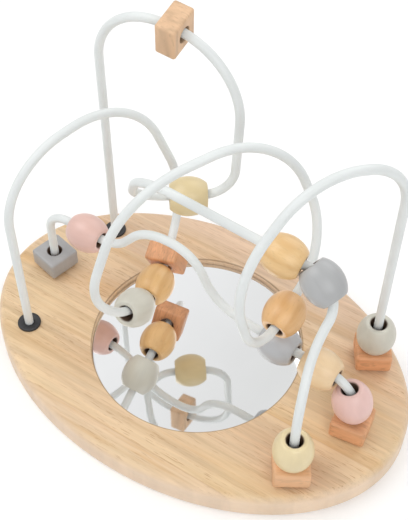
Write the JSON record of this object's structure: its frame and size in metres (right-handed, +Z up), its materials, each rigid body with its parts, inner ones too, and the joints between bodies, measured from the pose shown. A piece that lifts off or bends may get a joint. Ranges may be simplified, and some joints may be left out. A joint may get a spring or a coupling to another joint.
{
  "type": "bead maze",
  "caption": "Oval wooden board with a round mirror and bent coated wires on which wooden beads and blocks slide, a toddler's activity toy.",
  "frame": {"origin": "middle of the oval board's flat underside", "axes": "+Z up out of the board, +X along the board's long axis towards the end with three stacks, +Y to the back, towards the tall wire's first foot"},
  "size_m": [0.223, 0.152, 0.1749],
  "materials": {
    "board_wood": "clear matt lacquer over pale glued strips",
    "mirror": "polished acrylic mirror",
    "pad": "foam adhesive pad",
    "bushing_rubber": "matt black",
    "coated_wire": "satin off-white coating on steel",
    "paint_pink": "satin pink paint on wood",
    "paint_grey": "satin grey paint on wood",
    "paint_pale": "satin pale grey paint on wood",
    "paint_yellow": "satin pale yellow paint on wood",
    "wood_natural": "clear lacquered maple",
    "wood_orange": "clear lacquered orange wood",
    "wood_beech": "clear lacquered red beech",
    "wood_light_beech": "clear lacquered beech",
    "paint_grey_block": "satin grey paint on wood"
  },
  "bodies": {
    "frame": {"base_board": "board_wood", "mirror_disc": "mirror", "mirror_pad": "pad", "wire_bushings": "bushing_rubber", "tall_wire": "coated_wire", "corkscrew_wire": "coated_wire", "low_wire": "coated_wire"},
    "top_block": {"top_block": "wood_light_beech"},
    "upper_yellow_bead": {"upper_yellow_bead": "paint_yellow"},
    "loop_natural_bead": {"loop_natural_bead": "wood_natural"},
    "loop_grey_bead": {"loop_grey_bead": "paint_grey"},
    "front_block": {"front_block": "wood_beech"},
    "front_yellow_bead": {"front_yellow_bead": "paint_yellow"},
    "valley_natural_bead": {"valley_natural_bead": "wood_natural"},
    "valley_block": {"valley_block": "wood_beech"},
    "valley_pale_bead": {"valley_pale_bead": "paint_pale"},
    "coil_orange_bead": {"coil_orange_bead": "wood_orange"},
    "right_block": {"right_block": "wood_beech"},
    "right_pale_bead": {"right_pale_bead": "paint_pale"},
    "left_grey_block": {"left_grey_block": "paint_grey_block"},
    "low_pink_bead": {"low_pink_bead": "paint_pink"},
    "end_block": {"end_block": "wood_beech"},
    "end_pink_bead": {"end_pink_bead": "paint_pink"},
    "low_natural_bead": {"low_natural_bead": "wood_natural"},
    "low_grey_bead": {"low_grey_bead": "paint_grey"}
  },
  "joints": [
    {"name": "top_block_turn", "type": "hinge", "parent": "frame", "child": "top_block", "pos_m": [-0.04118, 0.03765, 0.1283], "axis": [-0.0651, 0.9968, -0.0474], "range_deg": [-8, 60]},
    {"name": "upper_yellow_bead_slide", "type": "slide", "parent": "frame", "child": "upper_yellow_bead", "axis": [-0.8011, -0.598, 0.0266], "range_m": [-0.002, 0.0045]},
    {"name": "loop_natural_bead_slide", "type": "slide", "parent": "frame", "child": "loop_natural_bead", "axis": [0.9771, 0.0941, -0.1908], "range_m": [-0.03, 0]},
    {"name": "loop_grey_bead_turn", "type": "hinge", "parent": "frame", "child": "loop_grey_bead", "pos_m": [0.05451, -0.0093, 0.09441], "axis": [-0.1951, 0.7538, -0.6275], "range_deg": [0, 30]},
    {"name": "front_block_slide", "type": "slide", "parent": "frame", "child": "front_block", "axis": [0, 0, 1], "range_m": [0, 0.008]},
    {"name": "front_yellow_bead_slide", "type": "slide", "parent": "front_block", "child": "front_yellow_bead", "axis": [0, 0, 1], "range_m": [0, 0.003]},
    {"name": "valley_natural_bead_turn", "type": "hinge", "parent": "frame", "child": "valley_natural_bead", "pos_m": [-0.03842, 0.0029, 0.07811], "axis": [-0.9533, -0.17, -0.2498], "range_deg": [-4, 4]},
    {"name": "valley_block_turn", "type": "hinge", "parent": "valley_natural_bead", "child": "valley_block", "pos_m": [-0.03842, 0.0029, 0.07811], "axis": [-0.9533, -0.17, -0.2498], "range_deg": [-8, 0]},
    {"name": "valley_pale_bead_turn", "type": "hinge", "parent": "valley_natural_bead", "child": "valley_pale_bead", "pos_m": [-0.03842, 0.0029, 0.07811], "axis": [-0.9533, -0.17, -0.2498], "range_deg": [0, 12]},
    {"name": "coil_orange_bead_slide", "type": "slide", "parent": "frame", "child": "coil_orange_bead", "axis": [0.0164, -0.9801, -0.1978], "range_m": [-0.012, 0]},
    {"name": "right_block_slide", "type": "slide", "parent": "frame", "child": "right_block", "axis": [0, 0, 1], "range_m": [0, 0.06]},
    {"name": "right_pale_bead_slide", "type": "slide", "parent": "right_block", "child": "right_pale_bead", "axis": [0, 0, 1], "range_m": [0, 0.02]},
    {"name": "left_grey_block_slide", "type": "slide", "parent": "frame", "child": "left_grey_block", "axis": [0, 0, 1], "range_m": [0, 0.014]},
    {"name": "low_pink_bead_slide", "type": "slide", "parent": "frame", "child": "low_pink_bead", "axis": [0.9998, -0.0179, -0.0078], "range_m": [-0.005, 0]},
    {"name": "end_block_slide", "type": "slide", "parent": "frame", "child": "end_block", "axis": [0, 0, 1], "range_m": [0, 0.006]},
    {"name": "end_pink_bead_turn", "type": "hinge", "parent": "frame", "child": "end_pink_bead", "pos_m": [0.07108, -0.00283, 0.03252], "axis": [0.0348, 0.9994, 0], "range_deg": [-27.47, 0]},
    {"name": "low_natural_bead_slide", "type": "slide", "parent": "frame", "child": "low_natural_bead", "axis": [0.9981, -0.0348, -0.0517], "range_m": [-0.00811, 0]},
    {"name": "low_grey_bead_slide", "type": "slide", "parent": "low_natural_bead", "child": "low_grey_bead", "axis": [0.9981, -0.0348, -0.0517], "range_m": [-0.006, 0]}
  ],
  "couplings": [
    {"joint": "end_pink_bead_turn", "follows": "end_block_slide", "rad_per_m": -79.319},
    {"joint": "low_natural_bead_slide", "follows": "end_block_slide", "ratio": -1.35}
  ]
}
